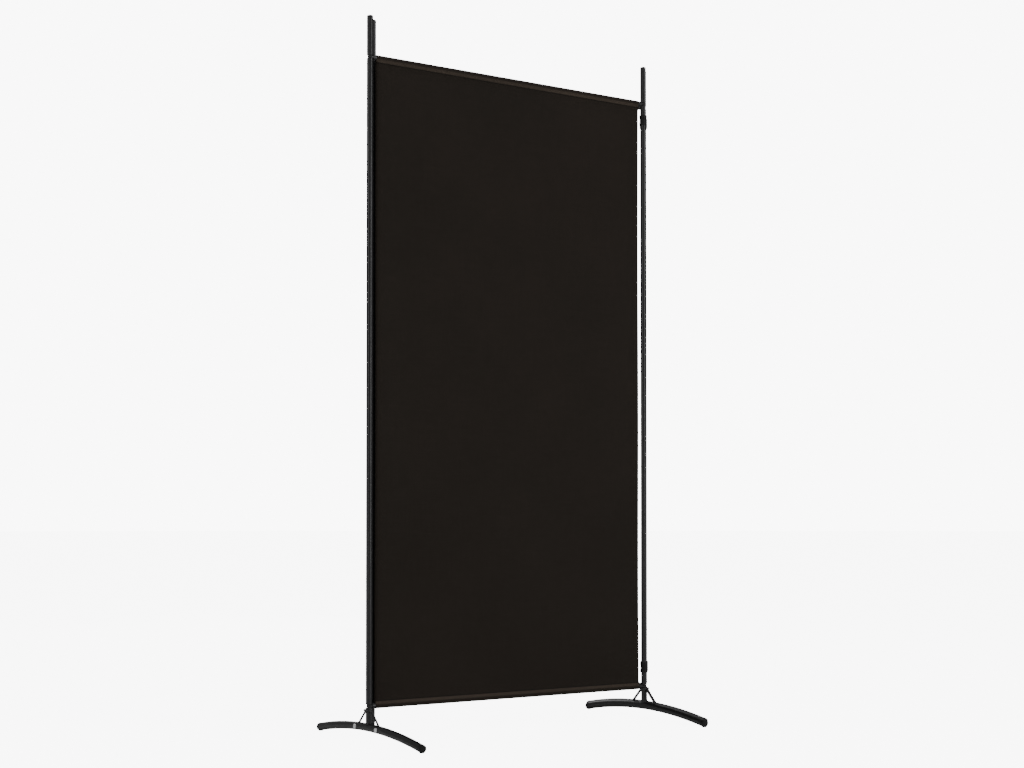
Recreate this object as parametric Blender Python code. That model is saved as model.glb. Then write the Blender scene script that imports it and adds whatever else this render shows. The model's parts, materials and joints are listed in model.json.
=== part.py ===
"""Two-panel folding room divider screen.

Each panel is two steel posts with a fabric sheet sleeved over a top and a bottom rail.
The front panel stands on two arched feet. The rear panel folds flat behind it: it is held
by two plastic clips that turn on the right-hand posts, and its right-hand post turns in a
third foot, which stays parallel to the front panel's feet.

Frame: X along the front panel, to the right. Y to the back. Z up, floor at z = 0.
The origin is on the floor, midway along the object's box in X and in Y.
"""
import math

import bmesh
import bpy
from mathutils import Matrix, Vector

# ---- driving dimensions, in metres -------------------------------------------------
PANEL_WIDTH = 0.865        # post axis to post axis
SCREEN_HEIGHT = 1.800      # floor to the top of the caps
POST_DIA = 0.016
POST_WALL = 0.001
RAIL_DIA = 0.013
RAIL_WALL = 0.001
TOP_RAIL_DROP = 0.105      # top rail axis below the top of the caps
BOTTOM_RAIL_Z = 0.087      # bottom rail axis above the floor
FEET_GAP = 0.006           # between the two feet that stand side by side
PAIR_STEP_Y = 0.031        # rear panel behind the front panel, axis to axis
FIT = 0.0003               # clearance between pieces that touch

RAIL_END_WALL = 0.004      # solid end of a rail, where its tongue is welded
RAIL_VENT_DIA = 0.003      # drain hole under the middle of a rail
TONGUE_WIDTH = 0.010
TONGUE_ROOT = 0.003        # length of tongue inside the end wall
EYE_THICK = 0.004          # flat eye at the end of a rail
EYE_OUTER_DIA = 0.0125
NECK_DIA = 0.010           # shoulders above and below the eye
NECK_HEIGHT = 0.0017
STUD_DIA = 0.006
STUD_PLUG_LENGTH = 0.020   # part of a stud that is pressed into the post
END_WALL = 0.008           # threaded wall that a stud screws into

CAP_HEIGHT = 0.006
CAP_PLUG_LENGTH = 0.012
REAR_POST_BOTTOM_Z = 0.034

FABRIC_SIDE_GAP = 0.0185   # post axis to the edge of the sheet
FABRIC_SLIDE = -0.002      # the sheet sits a little to the left on its rails
FABRIC_THICK = 0.0010

FOOT_LENGTH = 0.514
FOOT_TUBE_DIA = 0.020
FOOT_TUBE_WALL = 0.0012
FOOT_RISE = 0.0228         # how far the arch rises, tip to crown
FOOT_TIP_LIFT = 0.0012     # gap between the tube and the floor where it ends
FOOT_JOINT_Y = 0.064       # where an arm leaves the centre tube
SPIGOT_LENGTH = 0.026
BOLT_SETBACK = 0.0115      # from the joint in to the bolt
BOLT_DIA = 0.005
BOLT_HEAD_DIA = 0.012
BOLT_HEAD_HEIGHT = 0.0032
BOLT_REACH = 0.009         # shank length inside the tube's outer face
PLUG_LENGTH = 0.014        # part of an end plug inside the foot tube
PLUG_FLANGE = 0.008        # part of it that shows, and stands on the floor
PLUG_PROUD = 0.0003
SOLE_WIDTH = 0.009
BRACE_DIA = 0.0055
BRACE_FOOT_Y = 0.0575      # where a leg's line meets the axis of the foot tube
BRACE_CLEAR = 0.001        # between the brace and the bottom rail
BRACE_BEND = 0.15          # share of each leg that its bend at the top takes
BRACE_BEND_TURN = math.radians(30)   # how far round the socket that bend reaches
BRACE_FOOT_INSET = 0.12    # share of each leg that starts inside the foot tube

CLIP_HEIGHT = 0.027
CLIP_RIM_HEIGHT = 0.007
CLIP_WALL = 0.0014
CLIP_RIM_WALL = 0.0024
CLIP_REAR_HEIGHT = 0.027
CLIP_WEB_WIDTH = 0.008
CLIP_WEB_HEIGHT = 0.016
CLIP_TOP_DROP = 0.0445     # top clip below the top rail
CLIP_BOTTOM_RISE = 0.052   # bottom clip above the bottom rail

TUBE_SIDES = 16
SMALL_SIDES = 12
ARM_STEPS = 8
CENTRE_STEPS = 6
BEND_STEPS = 4
LOOP_STEPS = 6
SMOOTH_ANGLE = math.radians(35)

# ---- sizes that follow from them ---------------------------------------------------
POST_R = POST_DIA / 2
BORE_R = POST_R - POST_WALL
RAIL_R = RAIL_DIA / 2
NECK_R = NECK_DIA / 2
STUD_R = STUD_DIA / 2
FOOT_R = FOOT_TUBE_DIA / 2
FOOT_BORE_R = FOOT_R - FOOT_TUBE_WALL
BOLT_R = BOLT_DIA / 2
TOP_RAIL_Z = SCREEN_HEIGHT - TOP_RAIL_DROP
FABRIC_WIDTH = PANEL_WIDTH - 2 * FABRIC_SIDE_GAP
PAIR_STEP_X = FOOT_TUBE_DIA + FEET_GAP
CLIP_TOP_Z = TOP_RAIL_Z - CLIP_TOP_DROP
CLIP_BOTTOM_Z = BOTTOM_RAIL_Z + CLIP_BOTTOM_RISE
NECK_STEP = EYE_THICK / 2 + FIT          # from a rail's axis to the first shoulder
TUBE_STEP = NECK_STEP + NECK_HEIGHT      # from a rail's axis to a tube's end
FOOT_TIP_Z = FOOT_R + FOOT_TIP_LIFT
FOOT_CROWN_Z = FOOT_TIP_Z + FOOT_RISE
BOLT_Y = FOOT_JOINT_Y - BOLT_SETBACK
BRACE_TOP_Z = BOTTOM_RAIL_Z - RAIL_R - BRACE_CLEAR
TIP_Y = FOOT_LENGTH / 2 - PLUG_FLANGE
ARCH_RADIUS = (TIP_Y ** 2 + FOOT_RISE ** 2) / (2 * FOOT_RISE)
PAIR_ANGLE = math.atan2(PAIR_STEP_Y, PAIR_STEP_X)
PAIR_DISTANCE = math.hypot(PAIR_STEP_X, PAIR_STEP_Y)

FRONT_LEFT_X = -(PANEL_WIDTH + PAIR_STEP_X) / 2
FRONT_Y = -PAIR_STEP_Y / 2


# ---- materials ---------------------------------------------------------------------
def material(name, colour, roughness, metallic):
    made = bpy.data.materials.new(name)
    made.use_nodes = True
    shader = made.node_tree.nodes["Principled BSDF"]
    shader.inputs["Base Color"].default_value = (*colour, 1.0)
    shader.inputs["Roughness"].default_value = roughness
    shader.inputs["Metallic"].default_value = metallic
    return made


FINISHES = {
    "powder_black": ((0.018, 0.018, 0.019), 0.38, 0.0),
    "plastic_black": ((0.012, 0.012, 0.012), 0.50, 0.0),
    "fabric_brown": ((0.012, 0.010, 0.008), 0.95, 0.0),
    "bolt_bright": ((0.60, 0.60, 0.61), 0.25, 1.0),
}


# ---- mesh helpers ------------------------------------------------------------------
def finish_mesh(name, made, finish, parent):
    """Turn a bmesh into a named object with its own material, under its joint's empty."""
    bmesh.ops.remove_doubles(made, verts=made.verts, dist=1e-7)
    bmesh.ops.recalc_face_normals(made, faces=made.faces)
    mesh = bpy.data.meshes.new(name)
    made.to_mesh(mesh)
    made.free()
    mesh.shade_smooth()
    mesh.set_sharp_from_angle(angle=SMOOTH_ANGLE)
    mesh.materials.append(material(name + "_finish", *FINISHES[finish]))
    piece = bpy.data.objects.new(name, mesh)
    bpy.context.scene.collection.objects.link(piece)
    piece.parent = parent
    piece.matrix_parent_inverse = parent.matrix_world.inverted()
    return piece


def ring_points(centre, across, up, radius, sides):
    """A circle of points around centre, in the plane of across and up."""
    points = []
    for i in range(sides):
        turn = 2 * math.pi * i / sides
        points.append(centre + radius * (math.cos(turn) * across + math.sin(turn) * up))
    return points


def join_rings(made, first, second):
    """Faces between two rings of vertices. A ring of one vertex is a pole."""
    sides = max(len(first), len(second))
    for i in range(sides):
        j = (i + 1) % sides
        if len(first) == 1:
            made.faces.new((first[0], second[j], second[i]))
        elif len(second) == 1:
            made.faces.new((first[i], first[j], second[0]))
        else:
            made.faces.new((first[i], first[j], second[j], second[i]))


def turned(profile, sides, place):
    """Revolve a closed outline of (radius, height) pairs about Z, then place it."""
    made = bmesh.new()
    rings = []
    for radius, height in profile:
        centre = Vector((0, 0, height))
        if radius == 0:
            rings.append([made.verts.new(place @ centre)])
            continue
        points = ring_points(centre, Vector((1, 0, 0)), Vector((0, 1, 0)), radius, sides)
        rings.append([made.verts.new(place @ point) for point in points])
    for i, ring in enumerate(rings):
        following = rings[(i + 1) % len(rings)]
        if len(ring) > 1 or len(following) > 1:
            join_rings(made, ring, following)
    return made


def swept(stations, sides):
    """Loft a tube through (centre, along, outer radius, inner radius) stations.

    An inner radius of zero at every station makes a solid rod.
    """
    made = bmesh.new()
    outer, inner = [], []
    across = Vector((1, 0, 0))
    if abs(stations[0][1].dot(across)) > 0.9:
        across = Vector((0, 1, 0))
    for centre, along, outer_radius, inner_radius in stations:
        across = (across - across.dot(along) * along).normalized()
        up = along.cross(across)
        for rings, radius in ((outer, outer_radius), (inner, inner_radius)):
            if radius > 0:
                points = ring_points(centre, across, up, radius, sides)
                rings.append([made.verts.new(point) for point in points])
    for rings in (outer, inner):
        for first, second in zip(rings, rings[1:]):
            join_rings(made, first, second)
    if inner:
        join_rings(made, outer[0], inner[0])
        join_rings(made, outer[-1], inner[-1])
    else:
        made.faces.new(outer[0])
        made.faces.new(outer[-1])
    return made


def boxed(low, high):
    made = bmesh.new()
    bmesh.ops.create_cube(made, size=1.0)
    size = high - low
    middle = (high + low) / 2
    for vert in made.verts:
        vert.co = Vector([vert.co[i] * size[i] + middle[i] for i in range(3)])
    return made


def tool_object(made, label):
    """A hidden wire object that another piece is cut or joined with."""
    bmesh.ops.recalc_face_normals(made, faces=made.faces)
    mesh = bpy.data.meshes.new(label)
    made.to_mesh(mesh)
    made.free()
    tool = bpy.data.objects.new(label, mesh)
    bpy.context.scene.collection.objects.link(tool)
    tool.hide_render = True
    tool.display_type = "WIRE"
    return tool


def combine(piece, made, operation):
    """Apply one exact boolean of a bmesh to a piece."""
    tool = tool_object(made, piece.name + "_tool")
    step = piece.modifiers.new("combine", "BOOLEAN")
    step.operation = operation
    step.object = tool
    bpy.context.view_layer.update()
    shaped = bpy.data.meshes.new_from_object(
        piece.evaluated_get(bpy.context.evaluated_depsgraph_get()))
    piece.modifiers.remove(step)
    piece.data = shaped
    shaped.shade_smooth()
    shaped.set_sharp_from_angle(angle=SMOOTH_ANGLE)
    bpy.data.objects.remove(tool)


def rod_between(start, end, radius, sides):
    along = (end - start).normalized()
    return swept([(start, along, radius, 0), (end, along, radius, 0)], sides)


def joint_empty(name, location):
    empty = bpy.data.objects.new(name, None)
    empty.location = location
    bpy.context.scene.collection.objects.link(empty)
    bpy.context.view_layer.update()
    return empty


def upright(x, y, z, flip=1):
    """Place a turned outline at a post, right way up or upside down."""
    place = Matrix.Translation((x, y, z))
    if flip < 0:
        place = place @ Matrix.Rotation(math.pi, 4, "X")
    return place


# ---- posts and rails ---------------------------------------------------------------
def post(name, x, y, parent):
    low = BOTTOM_RAIL_Z + TUBE_STEP
    high = TOP_RAIL_Z - TUBE_STEP
    outline = [(POST_R, low), (POST_R, high), (BORE_R, high), (BORE_R, low)]
    finish_mesh(name, turned(outline, TUBE_SIDES, upright(x, y, 0)), "powder_black", parent)


def stud(name, x, y, rail_z, flip, parent):
    """Plug in the post, shoulder under the eye, and a shank through it."""
    plug_r = BORE_R - FIT
    shank_end = TUBE_STEP + END_WALL
    outline = [
        (0, -TUBE_STEP - STUD_PLUG_LENGTH),
        (plug_r, -TUBE_STEP - STUD_PLUG_LENGTH),
        (plug_r, -TUBE_STEP),
        (NECK_R, -TUBE_STEP + FIT),
        (NECK_R, -NECK_STEP),
        (STUD_R, -NECK_STEP),
        (STUD_R, shank_end),
        (0, shank_end),
    ]
    made = turned(outline, SMALL_SIDES, upright(x, y, rail_z, flip))
    finish_mesh(name, made, "powder_black", parent)


def end_tube(name, x, y, rail_z, length, flip, parent):
    """Short tube beyond a rail, with a shoulder and a threaded end wall."""
    hole_r = STUD_R + FIT
    outline = [
        (hole_r, NECK_STEP),
        (NECK_R, NECK_STEP),
        (NECK_R, TUBE_STEP),
        (POST_R, TUBE_STEP),
        (POST_R, TUBE_STEP + length),
        (BORE_R, TUBE_STEP + length),
        (BORE_R, TUBE_STEP + END_WALL),
        (hole_r, TUBE_STEP + END_WALL),
    ]
    made = turned(outline, TUBE_SIDES, upright(x, y, rail_z, flip))
    return finish_mesh(name, made, "powder_black", parent)


def end_cap(name, x, y, seat_z, flip, parent):
    """Domed plug that closes the open end of a tube."""
    plug_r = BORE_R - FIT
    edge = CAP_HEIGHT * 0.4
    outline = [(0, -CAP_PLUG_LENGTH), (plug_r, -CAP_PLUG_LENGTH), (plug_r, FIT), (POST_R, FIT)]
    for i in range(5):
        turn = math.radians(90 * i / 5)
        height = edge + (CAP_HEIGHT - edge) * math.sin(turn)
        outline.append((POST_R * math.cos(turn), height))
    outline.append((0, CAP_HEIGHT))
    made = turned(outline, TUBE_SIDES, upright(x, y, seat_z, flip))
    finish_mesh(name, made, "plastic_black", parent)


def rail(name, left_x, y, z, parent):
    """Tube with closed ends, a welded tongue and eye at each end, and a drain hole."""
    right_x = left_x + PANEL_WIDTH
    start = Vector((left_x + POST_R + FIT, y, z))
    end = Vector((right_x - POST_R - FIT, y, z))
    piece = finish_mesh(
        name, rod_between(start, end, RAIL_R, TUBE_SIDES), "powder_black", parent)
    half = Vector((0, 0, EYE_THICK / 2))
    for post_x, towards in ((left_x, 1), (right_x, -1)):
        eye = Vector((post_x, y, z))
        root_x = post_x + towards * (POST_R + FIT + TONGUE_ROOT)
        low = Vector((min(post_x, root_x), y - TONGUE_WIDTH / 2, z - EYE_THICK / 2))
        high = Vector((max(post_x, root_x), y + TONGUE_WIDTH / 2, z + EYE_THICK / 2))
        combine(piece, boxed(low, high), "UNION")
        disc = rod_between(eye - half, eye + half, EYE_OUTER_DIA / 2, 2 * SMALL_SIDES)
        combine(piece, disc, "UNION")
        hole = rod_between(eye - 2 * half, eye + 2 * half, STUD_R + FIT, SMALL_SIDES)
        combine(piece, hole, "DIFFERENCE")
    wall = Vector((RAIL_END_WALL, 0, 0))
    bore = rod_between(start + wall, end - wall, RAIL_R - RAIL_WALL, TUBE_SIDES)
    combine(piece, bore, "DIFFERENCE")
    middle = (start + end) / 2
    below = middle - Vector((0, 0, RAIL_DIA))
    combine(piece, rod_between(middle, below, RAIL_VENT_DIA / 2, SMALL_SIDES), "DIFFERENCE")


def fabric(name, left_x, y, parent):
    """Sheet with a sleeve at each end that slides over a rail."""
    middle = left_x + PANEL_WIDTH / 2 + FABRIC_SLIDE
    x0 = middle - FABRIC_WIDTH / 2
    x1 = middle + FABRIC_WIDTH / 2
    sleeve_in = RAIL_R + FIT
    sleeve_out = sleeve_in + FABRIC_THICK
    low = Vector((x0, y - FABRIC_THICK / 2, BOTTOM_RAIL_Z))
    high = Vector((x1, y + FABRIC_THICK / 2, TOP_RAIL_Z))
    piece = finish_mesh(name, boxed(low, high), "fabric_brown", parent)
    for z in (BOTTOM_RAIL_Z, TOP_RAIL_Z):
        start, end = Vector((x0, y, z)), Vector((x1, y, z))
        combine(piece, rod_between(start, end, sleeve_out, TUBE_SIDES), "UNION")
    beyond = Vector((RAIL_DIA, 0, 0))
    for z in (BOTTOM_RAIL_Z, TOP_RAIL_Z):
        start, end = Vector((x0, y, z)) - beyond, Vector((x1, y, z)) + beyond
        combine(piece, rod_between(start, end, sleeve_in, TUBE_SIDES), "DIFFERENCE")


# ---- arched feet -------------------------------------------------------------------
def arch_station(x, y, arc_y, outer, inner):
    """Point and direction on the foot's arch, arc_y along Y from the post."""
    turn = math.asin(arc_y / ARCH_RADIUS)
    drop = ARCH_RADIUS * (1 - math.cos(turn))
    centre = Vector((x, y + arc_y, FOOT_CROWN_Z - drop))
    return (centre, Vector((0, math.cos(turn), -math.sin(turn))), outer, inner)


def arch_tube(x, y, start, end, steps, outer, inner):
    stations = []
    for i in range(steps + 1):
        stations.append(arch_station(x, y, start + (end - start) * i / steps, outer, inner))
    return swept(stations, TUBE_SIDES)


def bolt_hole(x, y, outward, side):
    centre = arch_station(x, y, side * BOLT_Y, 0, 0)[0]
    out = Vector((outward * FOOT_TUBE_DIA, 0, 0))
    return rod_between(centre, centre + out, BOLT_R + FIT, SMALL_SIDES)


def foot_centre(name, x, y, outward, parent):
    made = arch_tube(x, y, -FOOT_JOINT_Y, FOOT_JOINT_Y, CENTRE_STEPS, FOOT_R, FOOT_BORE_R)
    piece = finish_mesh(name, made, "powder_black", parent)
    for side in (-1, 1):
        combine(piece, bolt_hole(x, y, outward, side), "DIFFERENCE")


def foot_arm(name, x, y, outward, side, parent):
    """Arm tube with a reduced spigot that slides into the centre tube."""
    spigot_r = FOOT_BORE_R - FIT
    shoulder = FOOT_JOINT_Y + FIT
    stations = []
    for reach in (FOOT_JOINT_Y - SPIGOT_LENGTH, shoulder):
        stations.append(
            arch_station(x, y, side * reach, spigot_r, spigot_r - FOOT_TUBE_WALL))
    for i in range(ARM_STEPS + 1):
        reach = shoulder + (TIP_Y - shoulder) * i / ARM_STEPS
        stations.append(arch_station(x, y, side * reach, FOOT_R, spigot_r - FOOT_TUBE_WALL))
    piece = finish_mesh(name, swept(stations, TUBE_SIDES), "powder_black", parent)
    combine(piece, bolt_hole(x, y, outward, side), "DIFFERENCE")


def foot_plug(name, x, y, side, parent):
    """Plastic plug in an arm's open end. Its flange has a flat sole on the floor."""
    tip, along, _, _ = arch_station(x, y, side * TIP_Y, 0, 0)
    along = along * side
    seat = tip + along * FIT
    end = tip + along * PLUG_FLANGE
    plug_r = FOOT_BORE_R - FIT - FOOT_TUBE_WALL - FIT
    flange_r = FOOT_R + PLUG_PROUD
    stations = [(tip - along * PLUG_LENGTH, along, plug_r, 0), (seat, along, plug_r, 0),
                (seat, along, flange_r, 0), (end, along, flange_r, 0)]
    piece = finish_mesh(name, swept(stations, TUBE_SIDES), "plastic_black", parent)
    lean = flange_r * abs(along.z)
    ends = sorted((seat.y + side * FIT, end.y - side * (lean + FIT)))
    low = Vector((x - SOLE_WIDTH / 2, ends[0], 0))
    high = Vector((x + SOLE_WIDTH / 2, ends[1], end.z))
    combine(piece, boxed(low, high), "UNION")
    floor_low = Vector((x - FOOT_TUBE_DIA, tip.y - 2 * PLUG_LENGTH, -FOOT_TUBE_DIA))
    floor_high = Vector((x + FOOT_TUBE_DIA, tip.y + 2 * PLUG_LENGTH, 0))
    combine(piece, boxed(floor_low, floor_high), "DIFFERENCE")


def foot_bolt(name, x, y, outward, side, parent):
    """Button-head bolt through the centre tube into the spigot."""
    centre = arch_station(x, y, side * BOLT_Y, 0, 0)[0]
    seat = FOOT_R + FIT
    crown = BOLT_HEAD_HEIGHT
    head_r = BOLT_HEAD_DIA / 2
    outline = [(0, seat - BOLT_REACH), (BOLT_R, seat - BOLT_REACH), (BOLT_R, seat), (head_r, seat)]
    for turn in (0, 30, 60):
        spread = math.radians(turn)
        outline.append((head_r * math.cos(spread), seat + crown * (0.3 + 0.7 * math.sin(spread))))
    outline.append((0, seat + crown))
    turned_out = Matrix.Rotation(outward * math.pi / 2, 4, "Y")
    made = turned(outline, SMALL_SIDES, Matrix.Translation(centre) @ turned_out)
    finish_mesh(name, made, "bolt_bright", parent)


def foot_socket(name, x, y, parent):
    """Short tube on the arch that carries the post, saddled to the foot tube."""
    length = BOTTOM_RAIL_Z - TUBE_STEP - FOOT_CROWN_Z
    piece = end_tube(name, x, y, BOTTOM_RAIL_Z, length, -1, parent)
    combine(piece, arch_tube(x, y, -POST_DIA, POST_DIA, 2, FOOT_R + FIT, 0), "DIFFERENCE")


def foot_brace(name, x, y, outward, parent):
    """Bent rod up from the arch, round the outer side of the socket, and back down."""
    radius = BRACE_DIA / 2
    loop = POST_R + FIT + radius
    middle = Vector((x, y, BRACE_TOP_Z - radius))

    def on_loop(turn):
        return middle + loop * Vector((outward * math.sin(turn), -math.cos(turn), 0))

    def leg_and_bend(side, turn):
        foot_end = arch_station(x, y, side * BRACE_FOOT_Y, 0, 0)[0]
        corner = middle + Vector((0, side * loop / math.cos(BRACE_BEND_TURN), 0))
        leg_end = corner.lerp(foot_end, BRACE_BEND)
        points = [foot_end.lerp(leg_end, BRACE_FOOT_INSET)]
        for i in range(BEND_STEPS):
            t = i / BEND_STEPS
            points.append(leg_end.lerp(corner, t).lerp(corner.lerp(on_loop(turn), t), t))
        return points

    points = leg_and_bend(-1, BRACE_BEND_TURN)
    span = math.pi - 2 * BRACE_BEND_TURN
    for i in range(LOOP_STEPS + 1):
        points.append(on_loop(BRACE_BEND_TURN + span * i / LOOP_STEPS))
    points += reversed(leg_and_bend(1, math.pi - BRACE_BEND_TURN))
    stations = []
    for i, point in enumerate(points):
        ahead = points[min(i + 1, len(points) - 1)]
        behind = points[max(i - 1, 0)]
        stations.append((point, (ahead - behind).normalized(), radius, 0))
    piece = finish_mesh(name, swept(stations, SMALL_SIDES), "powder_black", parent)
    reach = BRACE_FOOT_Y + FOOT_TUBE_DIA
    cutter = arch_tube(x, y, -reach, reach, CENTRE_STEPS, FOOT_R + FIT, 0)
    combine(piece, cutter, "DIFFERENCE")


def foot(prefix, x, y, outward, parent):
    foot_socket(prefix + "_socket", x, y, parent)
    foot_centre(prefix + "_centre_tube", x, y, outward, parent)
    foot_brace(prefix + "_brace", x, y, outward, parent)
    for side, end in ((-1, "front"), (1, "rear")):
        foot_arm(f"{prefix}_arm_{end}", x, y, outward, side, parent)
        foot_plug(f"{prefix}_plug_{end}", x, y, side, parent)
        foot_bolt(f"{prefix}_bolt_{end}", x, y, outward, side, parent)


# ---- panels and clips --------------------------------------------------------------
def panel(prefix, left_x, y, parent):
    rail(prefix + "_top_rail", left_x, y, TOP_RAIL_Z, parent)
    rail(prefix + "_bottom_rail", left_x, y, BOTTOM_RAIL_Z, parent)
    fabric(prefix + "_fabric", left_x, y, parent)
    extension = SCREEN_HEIGHT - CAP_HEIGHT - TOP_RAIL_Z - TUBE_STEP
    for side, x in (("left", left_x), ("right", left_x + PANEL_WIDTH)):
        post(f"{prefix}_post_{side}", x, y, parent)
        stud(f"{prefix}_top_stud_{side}", x, y, TOP_RAIL_Z, 1, parent)
        stud(f"{prefix}_bottom_stud_{side}", x, y, BOTTOM_RAIL_Z, -1, parent)
        end_tube(f"{prefix}_extension_{side}", x, y, TOP_RAIL_Z, extension, 1, parent)
        end_cap(f"{prefix}_top_cap_{side}", x, y, SCREEN_HEIGHT - CAP_HEIGHT, 1, parent)


def rear_free_end(x, y, parent):
    """Capped lower end of the rear panel's free post, clear of the floor."""
    length = BOTTOM_RAIL_Z - TUBE_STEP - REAR_POST_BOTTOM_Z - CAP_HEIGHT
    seat = REAR_POST_BOTTOM_Z + CAP_HEIGHT
    end_tube("rear_lower_tube", x, y, BOTTOM_RAIL_Z, length, -1, parent)
    end_cap("rear_bottom_cap", x, y, seat, -1, parent)


def clip(name, x, y, z, parent):
    """Plastic link with a ring round each right-hand post."""
    bore = POST_R + FIT
    wall = bore + CLIP_WALL
    rim = bore + CLIP_RIM_WALL
    half = CLIP_HEIGHT / 2
    step = half - CLIP_RIM_HEIGHT
    outline = [(bore, -half), (rim, -half), (rim, -step), (wall, -step),
               (wall, step), (rim, step), (rim, half), (bore, half)]
    made = turned(outline, TUBE_SIDES, upright(x, y, z))
    piece = finish_mesh(name, made, "plastic_black", parent)
    half = CLIP_REAR_HEIGHT / 2
    rear = [(bore, -half), (rim, -half), (rim, half), (bore, half)]
    rear_x, rear_y = x + PAIR_STEP_X, y + PAIR_STEP_Y
    combine(piece, turned(rear, TUBE_SIDES, upright(rear_x, rear_y, z)), "UNION")
    start = bore + CLIP_WALL / 2
    low = Vector((start, -CLIP_WEB_WIDTH / 2, -CLIP_WEB_HEIGHT / 2))
    high = Vector((PAIR_DISTANCE - start, CLIP_WEB_WIDTH / 2, CLIP_WEB_HEIGHT / 2))
    web = boxed(low, high)
    web.transform(Matrix.Translation((x, y, z)) @ Matrix.Rotation(PAIR_ANGLE, 4, "Z"))
    combine(piece, web, "UNION")


def build():
    for old in list(bpy.data.objects):
        bpy.data.objects.remove(old)
    right_x = FRONT_LEFT_X + PANEL_WIDTH
    rear_left_x = FRONT_LEFT_X + PAIR_STEP_X
    rear_right_x = rear_left_x + PANEL_WIDTH
    rear_y = FRONT_Y + PAIR_STEP_Y
    front = joint_empty("front_panel_frame", (FRONT_LEFT_X, FRONT_Y, 0))
    swing = joint_empty("clip_swing_axis", (right_x, FRONT_Y, 0))
    fold = joint_empty("panel_fold_axis", (rear_right_x, rear_y, 0))
    turn = joint_empty("rear_foot_turn_axis", (rear_right_x, rear_y, 0))
    panel("front", FRONT_LEFT_X, FRONT_Y, front)
    panel("rear", rear_left_x, rear_y, fold)
    rear_free_end(rear_left_x, rear_y, fold)
    foot("left_foot", FRONT_LEFT_X, FRONT_Y, -1, front)
    foot("right_foot", right_x, FRONT_Y, 1, front)
    foot("rear_foot", rear_right_x, rear_y, 1, turn)
    clip("clip_top", right_x, FRONT_Y, CLIP_TOP_Z, swing)
    clip("clip_bottom", right_x, FRONT_Y, CLIP_BOTTOM_Z, swing)


build()
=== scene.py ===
import json
import math
import random

import bmesh
import bpy
from mathutils import Matrix, Vector


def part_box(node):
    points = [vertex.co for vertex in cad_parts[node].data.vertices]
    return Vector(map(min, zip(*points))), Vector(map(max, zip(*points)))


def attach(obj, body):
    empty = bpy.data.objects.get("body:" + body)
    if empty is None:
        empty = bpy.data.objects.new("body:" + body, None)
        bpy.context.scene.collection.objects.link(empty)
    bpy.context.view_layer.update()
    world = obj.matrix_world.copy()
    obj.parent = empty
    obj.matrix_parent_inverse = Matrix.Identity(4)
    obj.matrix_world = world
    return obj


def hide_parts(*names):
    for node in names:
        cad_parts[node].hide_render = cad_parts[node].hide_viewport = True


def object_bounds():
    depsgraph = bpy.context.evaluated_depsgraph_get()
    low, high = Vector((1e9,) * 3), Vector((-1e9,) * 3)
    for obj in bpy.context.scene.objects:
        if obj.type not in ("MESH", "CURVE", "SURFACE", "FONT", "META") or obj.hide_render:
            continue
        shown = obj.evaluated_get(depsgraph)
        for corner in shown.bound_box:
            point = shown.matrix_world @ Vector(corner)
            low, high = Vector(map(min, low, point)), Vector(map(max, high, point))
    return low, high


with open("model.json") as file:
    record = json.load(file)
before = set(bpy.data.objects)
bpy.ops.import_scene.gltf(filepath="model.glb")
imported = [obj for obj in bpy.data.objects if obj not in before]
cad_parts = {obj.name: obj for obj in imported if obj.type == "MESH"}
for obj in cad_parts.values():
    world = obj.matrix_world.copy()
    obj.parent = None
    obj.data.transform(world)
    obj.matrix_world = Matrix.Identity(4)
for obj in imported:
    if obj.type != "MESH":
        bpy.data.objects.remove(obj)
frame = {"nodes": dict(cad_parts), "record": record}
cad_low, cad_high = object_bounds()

NODES = frame["nodes"]
BODY_OF = {node: body for body, members in
           frame["record"]["behaviour"]["bodies"].items() for node in members}
TAU = 2 * math.pi


# ---- the places and sizes that the frame gives --------------------------------------
def middle(node):
    low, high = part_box(node)
    return (low + high) / 2


def extent(node):
    low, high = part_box(node)
    return high - low


POST_R = extent("front_post_left").x / 2
RAIL_R = extent("front_top_rail").z / 2
FOOT_R = extent("left_foot_arm_front").x / 2
FLOOR = cad_low.z


# ---- camera, light and floor ----------------------------------------------------------
CAMERA_FROM_POST = Vector((-2.0434, -3.6419, 0.5546))
CAMERA_YAW = math.radians(-34.141)
CAMERA_PITCH = math.radians(1.2)
LENS_MM = 59.225
SHIFT_UP = 0.09455
BACKDROP_GLOW = 9.0         # what the camera sees of the world
AMBIENT_LIGHT = 0.22        # what the object gets from it
FLOOR_GLOW = 8.0
FLOOR_RADIUS = 60
FLOOR_DROP = 0.0002         # the floor lies just under the soles
SCREEN_HEART = (0, 0, 0.9)
SOFT_BOXES = {              # place, target, width, height, watts
    "key_front_right": ((1.9, -4.6, 1.9), SCREEN_HEART, 1.5, 3.4, 72),
    "fill_left": ((-4.6, -1.2, 1.7), SCREEN_HEART, 1.0, 3.2, 36),
    "overhead": ((-0.2, -0.5, 4.8), (-0.2, -0.5, 0), 3.2, 3.2, 45),
    "rim_back": ((1.6, 4.2, 2.2), SCREEN_HEART, 2.0, 3.0, 22),
}


def add_camera():
    data = bpy.data.cameras.new("camera")
    data.sensor_width = 36.0
    data.lens = LENS_MM
    data.shift_y = SHIFT_UP
    data.clip_end = 200
    camera = bpy.data.objects.new("camera", data)
    post = middle("front_post_left")
    camera.location = Vector((post.x, post.y, FLOOR)) + CAMERA_FROM_POST
    camera.rotation_euler = (math.pi / 2 + CAMERA_PITCH, 0, CAMERA_YAW)
    bpy.context.scene.collection.objects.link(camera)
    bpy.context.scene.camera = camera


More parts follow.
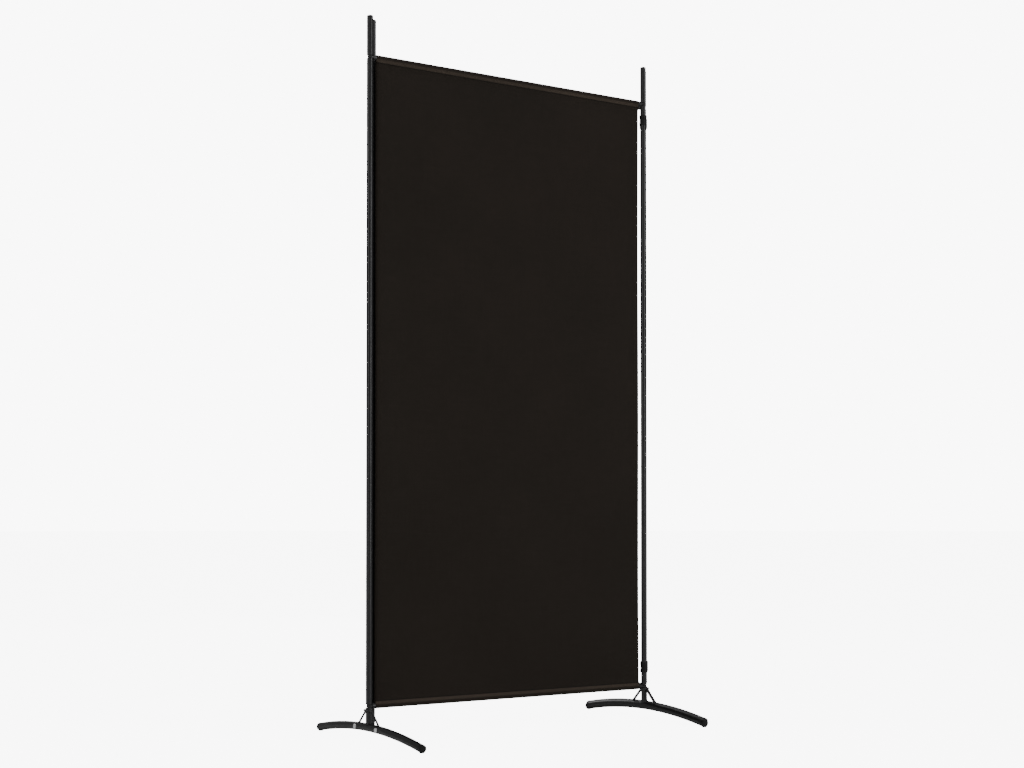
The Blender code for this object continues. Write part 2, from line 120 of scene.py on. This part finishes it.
def add_area(name, place, target, width, height, watts):
    data = bpy.data.lights.new(name, "AREA")
    data.shape = "RECTANGLE"
    data.size = width
    data.size_y = height
    data.energy = watts
    light = bpy.data.objects.new(name, data)
    light.location = place
    light.rotation_euler = (Vector(target) - Vector(place)).to_track_quat("-Z", "Y").to_euler()
    bpy.context.scene.collection.objects.link(light)


def add_studio():
    """Soft boxes round the screen, and a world that lights weakly and looks white."""
    world = bpy.data.worlds.new("studio")
    bpy.context.scene.world = world
    world.use_nodes = True
    tree = world.node_tree
    seen = tree.nodes["Background"]
    seen.inputs["Color"].default_value = (1.0, 1.0, 1.0, 1)
    seen.inputs["Strength"].default_value = BACKDROP_GLOW
    ambient = tree.nodes.new("ShaderNodeBackground")
    ambient.inputs["Color"].default_value = (1.0, 1.0, 1.0, 1)
    ambient.inputs["Strength"].default_value = AMBIENT_LIGHT
    path = tree.nodes.new("ShaderNodeLightPath")
    choice = tree.nodes.new("ShaderNodeMixShader")
    tree.links.new(path.outputs["Is Camera Ray"], choice.inputs["Fac"])
    tree.links.new(ambient.outputs[0], choice.inputs[1])
    tree.links.new(seen.outputs[0], choice.inputs[2])
    tree.links.new(choice.outputs[0], tree.nodes["World Output"].inputs["Surface"])
    for name, settings in SOFT_BOXES.items():
        add_area(name, *settings)


def add_floor():
    made = bmesh.new()
    bmesh.ops.create_circle(made, cap_ends=True, radius=FLOOR_RADIUS, segments=96)
    mesh = bpy.data.meshes.new("floor")
    made.to_mesh(mesh)
    made.free()
    floor = bpy.data.objects.new("floor", mesh)
    floor.location.z = FLOOR - FLOOR_DROP
    pale = bpy.data.materials.new("pale_floor")
    pale.use_nodes = True
    tree = pale.node_tree
    shader = tree.nodes["Principled BSDF"]
    shader.inputs["Base Color"].default_value = (0.94, 0.94, 0.94, 1)
    shader.inputs["Roughness"].default_value = 0.9
    shader.inputs["Specular IOR Level"].default_value = 0.1
    shader.inputs["Emission Color"].default_value = (1, 1, 1, 1)
    path = tree.nodes.new("ShaderNodeLightPath")
    glow = tree.nodes.new("ShaderNodeMath")
    glow.operation = "MULTIPLY"
    glow.inputs[1].default_value = FLOOR_GLOW
    tree.links.new(path.outputs["Is Camera Ray"], glow.inputs[0])
    tree.links.new(glow.outputs[0], shader.inputs["Emission Strength"])
    mesh.materials.append(pale)
    bpy.context.scene.collection.objects.link(floor)


# ---- material building blocks ---------------------------------------------------------
class Finish:
    """A Principled material with short calls for the nodes that feed it."""

    def __init__(self, name):
        self.made = bpy.data.materials.new(name)
        self.made.use_nodes = True
        self.tree = self.made.node_tree
        self.shader = self.tree.nodes["Principled BSDF"]

    def node(self, kind, **settings):
        made = self.tree.nodes.new(kind)
        for key, value in settings.items():
            setattr(made, key, value)
        return made

    def link(self, source, target):
        self.tree.links.new(source, target)

    def plug(self, socket, value):
        if isinstance(value, bpy.types.NodeSocket):
            self.link(value, socket)
        else:
            socket.default_value = value

    def maths(self, operation, first, second=0.0, third=0.0):
        made = self.node("ShaderNodeMath", operation=operation)
        for socket, value in zip(made.inputs, (first, second, third)):
            self.plug(socket, value)
        return made.outputs[0]

    def place(self):
        return self.node("ShaderNodeTexCoord").outputs["Object"]

    def layer(self, name):
        return self.node("ShaderNodeUVMap", uv_map=name).outputs["UV"]

    def split(self, vector):
        made = self.node("ShaderNodeSeparateXYZ")
        self.link(vector, made.inputs[0])
        return made.outputs

    def noise(self, vector, scale, detail=4.0, rough=0.55):
        made = self.node("ShaderNodeTexNoise")
        self.link(vector, made.inputs["Vector"])
        made.inputs["Scale"].default_value = scale
        made.inputs["Detail"].default_value = detail
        made.inputs["Roughness"].default_value = rough
        return made.outputs["Fac"]

    def stretched(self, vector, scales):
        made = self.node("ShaderNodeMapping")
        self.link(vector, made.inputs["Vector"])
        made.inputs["Scale"].default_value = scales
        return made.outputs[0]

    def between(self, value, low, high, out_low, out_high):
        made = self.node("ShaderNodeMapRange")
        self.plug(made.inputs["Value"], value)
        made.inputs["From Min"].default_value = low
        made.inputs["From Max"].default_value = high
        made.inputs["To Min"].default_value = out_low
        made.inputs["To Max"].default_value = out_high
        return made.outputs["Result"]

    def mix(self, share, first, second):
        made = self.node("ShaderNodeMix", data_type="RGBA")
        self.plug(made.inputs["Factor"], share)
        for key, value in (("A", first), ("B", second)):
            socket = [s for s in made.inputs if s.name == key and s.type == "RGBA"][0]
            self.plug(socket, value if isinstance(value, bpy.types.NodeSocket) else (*value, 1))
        return [s for s in made.outputs if s.type == "RGBA"][0]

    def bump(self, height, distance, strength=1.0, after=None):
        made = self.node("ShaderNodeBump")
        made.inputs["Strength"].default_value = strength
        made.inputs["Distance"].default_value = distance
        self.link(height, made.inputs["Height"])
        if after is not None:
            self.link(after, made.inputs["Normal"])
        return made.outputs["Normal"]

    def edges(self, low=0.51, high=0.56):
        """How far a point is on a worn outer edge, from 0 to 1."""
        geometry = self.node("ShaderNodeNewGeometry")
        return self.between(geometry.outputs["Pointiness"], low, high, 0.0, 1.0)

    def finish(self, colour, roughness, metallic=0.0, normal=None):
        self.plug(self.shader.inputs["Base Color"],
                  colour if isinstance(colour, bpy.types.NodeSocket) else (*colour, 1))
        self.plug(self.shader.inputs["Roughness"], roughness)
        self.plug(self.shader.inputs["Metallic"], metallic)
        if normal is not None:
            self.link(normal, self.shader.inputs["Normal"])
        return self.made


def powder_coat():
    f = Finish("powder_coat_black")
    place = f.place()
    peel = f.noise(place, 650, 2.0, 0.45)
    speck = f.noise(place, 2600, 1.0, 0.5)
    cloud = f.noise(place, 7, 3.0, 0.6)
    scuffs = f.noise(f.stretched(place, (140, 140, 9)), 3.0, 5.0, 0.7)
    height = f.maths("ADD", peel, f.maths("MULTIPLY", speck, 0.35))
    normal = f.bump(height, 0.00016, 0.55)
    worn = f.maths("MULTIPLY", f.edges(0.54, 0.62), f.between(scuffs, 0.45, 0.7, 0.0, 0.7))
    shade = f.mix(f.between(cloud, 0.3, 0.7, 0.0, 1.0), (0.0110, 0.0111, 0.0116),
                  (0.0160, 0.0161, 0.0167))
    colour = f.mix(worn, shade, (0.040, 0.040, 0.042))
    rough = f.maths("ADD", f.between(cloud, 0.3, 0.7, 0.27, 0.35),
                    f.between(scuffs, 0.55, 0.8, 0.0, 0.12))
    f.shader.inputs["Specular IOR Level"].default_value = 0.5
    return f.finish(colour, rough, 0.0, normal)


def moulded_plastic():
    f = Finish("moulded_plastic_black")
    place = f.place()
    grain = f.noise(place, 1500, 3.0, 0.6)
    cloud = f.noise(place, 30, 2.0, 0.5)
    normal = f.bump(grain, 0.00012, 0.6)
    shade = f.mix(f.between(cloud, 0.3, 0.7, 0.0, 1.0), (0.0036, 0.0036, 0.0038),
                  (0.0060, 0.0060, 0.0063))
    colour = f.mix(f.maths("MULTIPLY", f.edges(0.53, 0.62), 0.5), shade, (0.022, 0.022, 0.023))
    rough = f.between(grain, 0.3, 0.7, 0.46, 0.60)
    f.shader.inputs["Specular IOR Level"].default_value = 0.32
    return f.finish(colour, rough, 0.0, normal)


PLATE_METAL = 0.4           # metallic share of the pale zinc plate


def plated(name, light, dark, low_rough, high_rough):
    f = Finish(name)
    place = f.place()
    fine = f.noise(f.stretched(place, (1, 14, 1)), 420, 4.0, 0.65)
    cloud = f.noise(place, 160, 3.0, 0.6)
    colour = f.mix(f.between(cloud, 0.35, 0.7, 0.0, 1.0), light, dark)
    rough = f.between(fine, 0.3, 0.7, low_rough, high_rough)
    return f.finish(colour, rough, PLATE_METAL, f.bump(fine, 0.00004, 0.35))


THREAD_PITCH = 0.00052
SEAM_DROP = 0.0115          # stitch line below (or above) the rail's axis
SLEEVE_PAINTED_HIGHLIGHT = 1.7          # painted highlight: brightness added, as a share, on the sleeve's slope between the rail and its stitch line
CREASE_SHADE = 0.45         # painted shade: brightness taken off, as a share, along the stitch line
RAIL_MIDDLE = (middle("front_top_rail").z + middle("front_bottom_rail").z) / 2
RAIL_SPAN = middle("front_top_rail").z - middle("front_bottom_rail").z


def woven(name, warp_colour, weft_colour, glow):
    """Plain weave: warp and weft threads that pass over and under each other."""
    f = Finish(name)
    place = f.layer("cloth")
    axes = f.split(place)
    wander = f.noise(f.stretched(place, (9, 9, 1)), 12, 2.0, 0.5)
    across = f.maths("ADD", f.maths("DIVIDE", axes[0], THREAD_PITCH),
                     f.maths("MULTIPLY", wander, 0.8))
    along = f.maths("ADD", f.maths("DIVIDE", axes[1], THREAD_PITCH),
                    f.maths("MULTIPLY", wander, 0.8))
    cells = f.maths("ADD", f.maths("FLOOR", across), f.maths("FLOOR", along))
    over = f.maths("MODULO", f.maths("ABSOLUTE", cells), 2.0)
    warp = f.maths("ABSOLUTE", f.maths("SINE", f.maths("MULTIPLY", across, math.pi)))
    weft = f.maths("ABSOLUTE", f.maths("SINE", f.maths("MULTIPLY", along, math.pi)))
    warp_over = f.maths("MULTIPLY", f.maths("POWER", warp, 0.6), f.maths("POWER", weft, 0.35))
    weft_over = f.maths("MULTIPLY", f.maths("POWER", weft, 0.6), f.maths("POWER", warp, 0.35))
    height = f.maths("ADD", f.maths("MULTIPLY", warp_over, over),
                     f.maths("MULTIPLY", weft_over, f.maths("SUBTRACT", 1.0, over)))
    slub_warp = f.noise(f.stretched(place, (1900, 9, 1)), 1.0, 3.0, 0.6)
    slub_weft = f.noise(f.stretched(place, (9, 1900, 1)), 1.0, 3.0, 0.6)
    slub = f.maths("ADD", slub_warp, slub_weft)
    cloud = f.noise(place, 3.5, 4.0, 0.55)
    fuzz = f.noise(place, 5200, 2.0, 0.6)
    base = f.mix(over, weft_colour, warp_colour)
    dark = f.mix(f.between(slub, 0.75, 1.25, 0.0, 0.45), base, tuple(c * 0.55 for c in warp_colour))
    lit = f.mix(f.between(cloud, 0.35, 0.7, 0.0, 0.35), dark, tuple(c * 1.55 for c in weft_colour))
    # painted shade: the low points of the weave, between the threads, are darkened towards a quarter
    # of the warp colour
    painted_light_colour = f.mix(f.between(height, 0.0, 0.5, 0.75, 0.0), lit, tuple(c * 0.25 for c in warp_colour))
    from_end = f.maths("SUBTRACT", RAIL_SPAN / 2, f.maths("ABSOLUTE", f.maths(
        "SUBTRACT", f.split(f.place())[2], RAIL_MIDDLE)))
    # painted highlight: the sleeve's slope between the rail and the stitch line is brightened in the
    # colour, standing in for light falling on it
    sleeve_painted_highlight = f.maths("MULTIPLY", f.between(from_end, 0.0015, 0.0050, 0.0, 1.0),
                      f.between(from_end, SEAM_DROP - 0.002, SEAM_DROP - 0.0008, 1.0, 0.0))
    # painted shade: a narrow band along the stitch line is darkened, standing in for the shade in the
    # seam's fold
    crease_painted_shade = f.maths("MULTIPLY", f.between(from_end, SEAM_DROP - 0.001, SEAM_DROP, 0.0, 1.0),
                     f.between(from_end, SEAM_DROP + 0.001, SEAM_DROP + 0.002, 1.0, 0.0))
    # the sleeve's painted highlight and the painted shade along the stitch line are laid on the
    # colour here
    shade = f.node("ShaderNodeHueSaturation")
    f.link(painted_light_colour, shade.inputs["Color"])
    f.link(f.maths("SUBTRACT", f.maths("MULTIPLY_ADD", sleeve_painted_highlight, SLEEVE_PAINTED_HIGHLIGHT, 1.0),
                   f.maths("MULTIPLY", crease_painted_shade, CREASE_SHADE)), shade.inputs["Value"])
    painted_light_colour = shade.outputs["Color"]
    first = f.bump(height, 0.00014, 0.75)
    second = f.bump(fuzz, 0.00005, 0.5, first)
    third = f.bump(slub, 0.00008, 0.5, second)
    f.shader.inputs["Specular IOR Level"].default_value = 0.18
    f.shader.inputs["Sheen Weight"].default_value = glow
    f.shader.inputs["Sheen Roughness"].default_value = 0.45
    f.shader.inputs["Sheen Tint"].default_value = (0.75, 0.70, 0.64, 1)
    return f.finish(painted_light_colour, f.between(slub, 0.7, 1.3, 0.80, 0.95), 0.0, third)


def twisted_thread():
    f = Finish("sewing_thread")
    place = f.place()
    ply = f.node("ShaderNodeTexWave", wave_type="BANDS", bands_direction="DIAGONAL")
    f.link(place, ply.inputs["Vector"])
    ply.inputs["Scale"].default_value = 900
    ply.inputs["Distortion"].default_value = 1.0
    colour = f.mix(ply.outputs["Fac"], (0.0120, 0.0100, 0.0085), (0.0260, 0.0225, 0.0190))
    return f.finish(colour, 0.7, 0.0, f.bump(ply.outputs["Fac"], 0.00006, 0.6))


def weld_metal():
    f = Finish("painted_weld")
    place = f.place()
    ripple = f.noise(place, 420, 3.0, 0.6)
    colour = f.mix(f.between(ripple, 0.3, 0.7, 0.0, 1.0), (0.0085, 0.0086, 0.0090),
                   (0.0130, 0.0131, 0.0136))
    return f.finish(colour, f.between(ripple, 0.3, 0.7, 0.28, 0.42), 0.0,
                    f.bump(ripple, 0.0003, 0.5))


POWDER = powder_coat()
PLASTIC = moulded_plastic()
BRIGHT = plated("bright_bolt", (0.93, 0.93, 0.93), (0.84, 0.84, 0.85), 0.30, 0.44)
CLOTH = woven("polyester_weave", (0.0290, 0.0222, 0.0170), (0.0222, 0.0171, 0.0131), 0.05)
TAPE = woven("hem_weave", (0.0262, 0.0200, 0.0154), (0.0200, 0.0154, 0.0119), 0.04)
THREAD = twisted_thread()
WELD = weld_metal()
FINISH_OF_SLOT = {"powder_black": POWDER, "plastic_black": PLASTIC, "fabric_brown": CLOTH,
                  "bolt_bright": BRIGHT}
SLOT_OF = {row["node"]: row["material_slot"] for row in frame["record"]["subparts"]}


# ---- mesh building blocks ---------------------------------------------------------------
def new_piece(name, made, finish, body, sharp=38):
    mesh = bpy.data.meshes.new(name)
    made.to_mesh(mesh)
    made.free()
    mesh.shade_smooth()
    mesh.set_sharp_from_angle(angle=math.radians(sharp))
    mesh.materials.append(finish)
    piece = bpy.data.objects.new(name, mesh)
    bpy.context.scene.collection.objects.link(piece)
    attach(piece, body)
    return piece


def refined(node, round_by):
    """The CAD node as a smooth piece with rounded edges, in its own finish."""
    made = bmesh.new()
    made.from_mesh(NODES[node].data)
    bmesh.ops.remove_doubles(made, verts=made.verts, dist=1e-6)
    bmesh.ops.recalc_face_normals(made, faces=made.faces)
    bmesh.ops.dissolve_limit(made, angle_limit=math.radians(0.5), verts=made.verts,
                             edges=made.edges, use_dissolve_boundaries=False)
    piece = new_piece(node + "_finished", made, FINISH_OF_SLOT[SLOT_OF[node]],
                      BODY_OF[node])
    rounding = piece.modifiers.new("round_edges", "BEVEL")
    rounding.width = round_by
    rounding.segments = 2
    rounding.limit_method = "ANGLE"
    rounding.angle_limit = math.radians(40)
    rounding.harden_normals = False
    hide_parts(node)
    return piece


def ring(made, centre, across, up, radius, sides):
    return [made.verts.new(centre + radius * (math.cos(TAU * i / sides) * across
                                              + math.sin(TAU * i / sides) * up))
            for i in range(sides)]


def bridge(made, first, second):
    count = len(first)
    for i in range(count):
        j = (i + 1) % count
        made.faces.new((first[i], first[j], second[j], second[i]))


def face_outwards(made):
    bmesh.ops.recalc_face_normals(made, faces=made.faces)


def skin(made, rows, layer):
    """Faces between rows of (vertex, uv) pairs, with their uv written."""
    for lower, upper in zip(rows, rows[1:]):
        for i in range(len(lower) - 1):
            corners = (lower[i], lower[i + 1], upper[i + 1], upper[i])
            face = made.faces.new([corner[0] for corner in corners])
            for loop, corner in zip(face.loops, corners):
                loop[layer].uv = corner[1]


# ---- cloth panels -------------------------------------------------------------------------
CLOTH_COLUMNS = 84
CLOTH_ROWS = 150
HEM_FOLD = 0.013            # turned-in side hem
CLOTH_GAUGE = 0.00055       # one layer of cloth
SLEEVE_SLACK = 0.00025      # air between sleeve and rail
SLEEVE_STEPS = 22
SEAM_TAIL = 0.004           # cloth left behind the seam of a sleeve
HEM_GAUGE = 0.00025
STITCH_PITCH = 0.0032
STITCH_LENGTH = STITCH_PITCH * 0.72
STITCH_R = 0.00022
STITCH_SIDES = 6
ROW_INSET = 0.003           # bare cloth before the first stitch of a row
SEAM_ROW_INSET = 0.0012     # stitch row of a sleeve, inside the seam
HEM_ROW_INSET = 0.0022      # stitch row of a side hem, inside the fold's edge


def sleeve_outline(rail_z, inwards):
    """Points (y, z) round a rail from the back seam, over it, to the front seam."""
    reach = RAIL_R + SLEEVE_SLACK + CLOTH_GAUGE / 2
    seam_z = rail_z + inwards * SEAM_DROP
    start = math.pi / 2 - math.asin(reach / SEAM_DROP)
    points = [(CLOTH_GAUGE * 0.75, seam_z + inwards * SEAM_TAIL), (CLOTH_GAUGE * 0.75, seam_z)]
    for i in range(SLEEVE_STEPS + 1):
        turn = start + (TAU - 2 * start) * i / SLEEVE_STEPS
        points.append((reach * math.sin(turn), rail_z + inwards * reach * math.cos(turn)))
    return points


def cloth_profile(low_z, high_z):
    """One (y, z) line: bottom sleeve, the flat sheet, top sleeve."""
    bottom = sleeve_outline(low_z, 1)
    top = sleeve_outline(high_z, -1)
    front = -CLOTH_GAUGE * 0.25
    flat_low = low_z + SEAM_DROP
    flat_high = high_z - SEAM_DROP
    flat = [(front, flat_low + (flat_high - flat_low) * i / CLOTH_ROWS)
            for i in range(CLOTH_ROWS + 1)]
    return bottom + flat + list(reversed(top))


def tension(x_share, z_share):
    """How far the stretched sheet stands off its flat plane, in metres."""
    edge = (1 - min(1.0, 10 * min(x_share, 1 - x_share)))
    held = math.sin(math.pi * z_share)
    ripple = 0.55 * math.sin(TAU * (3.0 * x_share + 0.25 * math.sin(4.1 * z_share)))
    slow = 0.9 * math.sin(TAU * (0.6 * z_share + 0.35 * x_share) + 0.8)
    curl = 1.3 * edge * math.sin(TAU * 1.4 * z_share + 0.6)
    pull = 0.35 * math.sin(TAU * 17 * x_share) * math.exp(-9 * min(z_share, 1 - z_share))
    return 0.001 * (held * (ripple + slow + curl) + pull * held ** 0.3)


def waist(z_share):
    """The free side edges are drawn in a little between the rails."""
    return 0.0012 * math.sin(math.pi * z_share)


def cloth_panel(panel):
    node = panel + "_fabric"
    low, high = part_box(node)
    body = BODY_OF[node]
    plane_y = (low.y + high.y) / 2
    rail_low = middle(panel + "_bottom_rail").z
    rail_high = middle(panel + "_top_rail").z
    profile = cloth_profile(rail_low, rail_high)
    lengths = [0.0]
    for a, b in zip(profile, profile[1:]):
        lengths.append(lengths[-1] + math.dist(a, b))
    made = bmesh.new()
    layer = made.loops.layers.uv.new("cloth")
    span = rail_high - rail_low
    rows = []
    for (y, z), reach in zip(profile, lengths):
        z_share = min(1.0, max(0.0, (z - rail_low) / span))
        on_flat = abs(y) < CLOTH_GAUGE and SEAM_DROP < z - rail_low < span - SEAM_DROP
        row = []
        for i in range(CLOTH_COLUMNS + 1):
            share = i / CLOTH_COLUMNS
            draw = waist(z_share) * (1 - 2 * share)
            x = low.x + (high.x - low.x) * share + draw
            off = tension(share, z_share) if on_flat else 0.0
            row.append((made.verts.new((x, plane_y + y + off, z)), (x, reach)))
        rows.append(row)
    skin(made, rows, layer)
    piece = new_piece(panel + "_cloth", made, CLOTH, body, 60)
    thicken = piece.modifiers.new("cloth_gauge", "SOLIDIFY")
    thicken.thickness = CLOTH_GAUGE
    thicken.offset = 0
    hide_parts(node)
    hems = [side_hem(panel, side, low, high, plane_y, rail_low, rail_high, body)
            for side in (0, 1)]
    seams = stitch_lines(panel, low, high, plane_y, rail_low, rail_high, body)


def sheet_y(plane_y, share, z_share):
    return plane_y - CLOTH_GAUGE * 0.25 + tension(share, z_share)


def side_hem(panel, side, low, high, plane_y, rail_low, rail_high, body):
    """The side edge, folded to the back and laid flat: a soft roll and a second layer."""
    width = high.x - low.x
    inward = 1 - 2 * side
    edge_x = low.x if side == 0 else high.x
    span = rail_high - rail_low
    made = bmesh.new()
    layer = made.loops.layers.uv.new("cloth")
    rows = []
    outline = [(-0.0002, -0.00034), (-0.0006, 0.0001), (-0.0006, 0.0006), (-0.0001, 0.00105),
               (0.0012, 0.00118), (HEM_FOLD * 0.5, 0.00112), (HEM_FOLD - 0.0008, 0.00108),
               (HEM_FOLD, 0.0008), (HEM_FOLD, 0.00035)]
    for k in range(CLOTH_ROWS + 1):
        z = rail_low + SEAM_DROP + (span - 2 * SEAM_DROP) * k / CLOTH_ROWS
        z_share = (z - rail_low) / span
        row = []
        reach = 0.0
        before = outline[0]
        for across, back in outline:
            reach += math.dist((across, back), before)
            before = (across, back)
            x = edge_x + inward * (across + waist(z_share))
            share = min(1.0, max(0.0, (x - low.x) / width))
            vert = made.verts.new((x, sheet_y(plane_y, share, z_share) + back, z))
            row.append((vert, (reach, z)))
        rows.append(row)
    skin(made, rows, layer)
    face_outwards(made)
    name = f"{panel}_hem_{('left', 'right')[side]}"
    piece = new_piece(name, made, TAPE, body, 60)
    thicken = piece.modifiers.new("hem_gauge", "SOLIDIFY")
    thicken.thickness = HEM_GAUGE
    thicken.offset = 0
    return piece


def add_stitch(made, centre, along, out):
    """One thread stitch: a short bead, sunk at both ends."""
    side = along.cross(out).normalized()
    rings = []
    for share, size, lift in ((-0.5, 0.35, -0.8), (-0.3, 0.9, 0.2), (0.0, 1.0, 0.5),
                              (0.3, 0.9, 0.2), (0.5, 0.35, -0.8)):
        place = centre + along * (STITCH_LENGTH * share) + out * (STITCH_R * lift)
        rings.append(ring(made, place, side, out, STITCH_R * size, STITCH_SIDES))
    for first, second in zip(rings, rings[1:]):
        bridge(made, first, second)
    made.faces.new(rings[0])
    made.faces.new(rings[-1])


def stitch_lines(panel, low, high, plane_y, rail_low, rail_high, body):
    made = bmesh.new()
    width = high.x - low.x
    span = rail_high - rail_low
    seam_inset = SEAM_DROP + SEAM_ROW_INSET
    for z in (rail_low + seam_inset, rail_high - seam_inset):
        count = int((width - 2 * ROW_INSET) / STITCH_PITCH)
        for i in range(count):
            x = low.x + ROW_INSET + STITCH_PITCH * (i + 0.5)
            share = (x - low.x) / width
            y = sheet_y(plane_y, share, (z - rail_low) / span)
            for out, lift in ((-1, CLOTH_GAUGE * 0.5), (1, CLOTH_GAUGE * 1.5)):
                add_stitch(made, Vector((x, y + out * lift, z)), Vector((1, 0, 0)),
                           Vector((0, out, 0)))
    for side in (0, 1):
        inward = 1 - 2 * side
        edge_x = low.x if side == 0 else high.x
        count = int((span - 2 * SEAM_DROP - 2 * ROW_INSET) / STITCH_PITCH)
        for i in range(count):
            z = rail_low + SEAM_DROP + ROW_INSET + STITCH_PITCH * (i + 0.5)
            z_share = (z - rail_low) / span
            x = edge_x + inward * (HEM_FOLD - HEM_ROW_INSET + waist(z_share))
            y = sheet_y(plane_y, (x - low.x) / width, z_share)
            for out, lift in ((-1, CLOTH_GAUGE * 0.5), (1, CLOTH_GAUGE * 2.2)):
                add_stitch(made, Vector((x, y + out * lift, z)), Vector((0, 0, 1)),
                           Vector((0, out, 0)))
    face_outwards(made)
    return new_piece(panel + "_stitching", made, THREAD, body, 80)


# ---- metal and plastic ------------------------------------------------------------------
BEAD_R = 0.0013
BEAD_STEPS = 72
BEAD_SIDES = 8
PUDDLE_R = 0.0032
BRACE_ROD_R = 0.00275


def socket_bead(foot):
    """Fillet weld where the socket stands on the foot's centre tube."""
    socket = middle(foot + "_socket")
    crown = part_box(foot + "_centre_tube")[1].z - FOOT_R
    made = bmesh.new()
    rings = []
    for i in range(BEAD_STEPS):
        turn = TAU * i / BEAD_STEPS
        out = Vector((math.cos(turn), math.sin(turn), 0))
        drop = math.sqrt(max(FOOT_R ** 2 - (POST_R * math.cos(turn)) ** 2, 0))
        centre = Vector((socket.x, socket.y, crown + drop)) + out * (POST_R + 0.0001)
        swell = BEAD_R * (0.84 + 0.16 * abs(math.sin(i * 1.05)))
        rings.append(ring(made, centre, out, Vector((0, 0, 1)), swell, BEAD_SIDES))
    for i in range(BEAD_STEPS):
        bridge(made, rings[i], rings[(i + 1) % BEAD_STEPS])
    face_outwards(made)
    new_piece(foot + "_socket_weld", made, WELD, BODY_OF[foot + "_socket"], 60)


def lump(name, places, size, body):
    """Small rippled weld puddles."""
    made = bmesh.new()
    draw = random.Random(7)
    for place, scale in places:
        start = len(made.verts)
        bmesh.ops.create_icosphere(made, subdivisions=3, radius=size,
                                   matrix=Matrix.Translation(place) @ Matrix.Diagonal((*scale, 1)))
        made.verts.ensure_lookup_table()
        for vert in made.verts[start:]:
            offset = vert.co - place
            vert.co = place + offset * (1 + 0.05 * math.sin(offset.y * 5200)
                                        + 0.03 * (draw.random() - 0.5))
    face_outwards(made)
    new_piece(name, made, WELD, body, 70)


def brace_welds(foot, outward):
    low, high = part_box(foot + "_brace")
    socket = middle(foot + "_socket")
    body = BODY_OF[foot + "_brace"]
    top = Vector((socket.x + outward * (POST_R + 0.0006), (low.y + high.y) / 2, high.z - BRACE_ROD_R))
    places = [(top, (0.45, 1.5, 0.9))]
    for side in (-1, 1):
        y = (low.y + high.y) / 2 + side * ((high.y - low.y) / 2 - BRACE_ROD_R * 1.4)
        places.append((Vector((socket.x + outward * 0.0006, y, low.z + 0.0008)), (1.15, 1.3, 0.42)))
    lump(foot + "_brace_welds", places, PUDDLE_R, body)


SHANK_R = 0.0025
SHANK_SHOWN = 0.0090
HEAD_HEIGHT = 0.0031
HEAD_SIDES = 48
HEAD_RIM = 0.0005           # straight edge of the head under its dome
DOME_TURN = math.radians(70)
DOME_STEPS = 6
DOME_NARROWING = 0.44
HEX_SHARE = 0.40            # corner radius of the socket over the head's radius


def hex_bolt(node, outward):
    """Button head with a hexagon socket."""
    low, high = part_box(node)
    centre = (low + high) / 2
    head_r = (high.z - low.z) / 2
    face = high.x if outward > 0 else low.x
    out = Vector((outward, 0, 0))
    across, up = Vector((0, 1, 0)), Vector((0, 0, 1))
    made = bmesh.new()
    seat = -HEAD_HEIGHT
    profile = [(SHANK_R, seat - SHANK_SHOWN), (SHANK_R, seat), (head_r, seat),
               (head_r, seat + HEAD_RIM)]
    dome_height = HEAD_HEIGHT - HEAD_RIM - 0.00005
    for i in range(1, DOME_STEPS + 1):
        turn = DOME_TURN * i / DOME_STEPS
        narrowed = DOME_NARROWING * (1 - math.cos(turn)) / (1 - math.cos(DOME_TURN))
        risen = dome_height * math.sin(turn) / math.sin(DOME_TURN)
        profile.append((head_r * (1 - narrowed), seat + HEAD_RIM + risen))
    rings = []
    for radius, depth in profile:
        rings.append(ring(made, Vector((face, centre.y, centre.z)) + out * depth, across, up,
                          radius, HEAD_SIDES))
    hex_r = head_r * HEX_SHARE

    def hexagon(depth, size):
        verts = []
        for i in range(HEAD_SIDES):
            turn = TAU * i / HEAD_SIDES
            within = (turn % (TAU / 6)) - TAU / 12
            radius = size * math.cos(TAU / 12) / math.cos(within)
            place = Vector((face, centre.y, centre.z)) + out * depth
            verts.append(made.verts.new(place + radius * (math.cos(turn) * across
                                                          + math.sin(turn) * up)))
        return verts

    rings.append(hexagon(-0.00008, hex_r * 1.06))
    rings.append(hexagon(-0.00030, hex_r))
    rings.append(hexagon(-0.00170, hex_r))
    for first, second in zip(rings, rings[1:]):
        bridge(made, first, second)
    made.faces.new(rings[0])
    made.faces.new(rings[-1])
    face_outwards(made)
    piece = new_piece(node + "_finished", made, BRIGHT, BODY_OF[node], 30)
    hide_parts(node)


PLASTIC_ROUNDING = 0.0006
METAL_ROUNDING = 0.0003
HARD_PARTS = ("post", "rail", "extension", "cap", "stud", "lower_tube", "socket",
              "centre_tube", "arm", "plug", "brace", "clip")


def dress_hard_parts():
    for node in sorted(NODES):
        if "bolt" in node:
            hex_bolt(node, -1 if node.startswith("left") else 1)
        elif any(word in node for word in HARD_PARTS):
            moulded = SLOT_OF[node] == "plastic_black"
            refined(node, PLASTIC_ROUNDING if moulded else METAL_ROUNDING)


add_camera()
add_studio()
add_floor()
dress_hard_parts()
for foot_name, foot_outward in (("left_foot", -1), ("right_foot", 1), ("rear_foot", 1)):
    socket_bead(foot_name)
    brace_welds(foot_name, foot_outward)
for panel_name in ("front", "rear"):
    cloth_panel(panel_name)
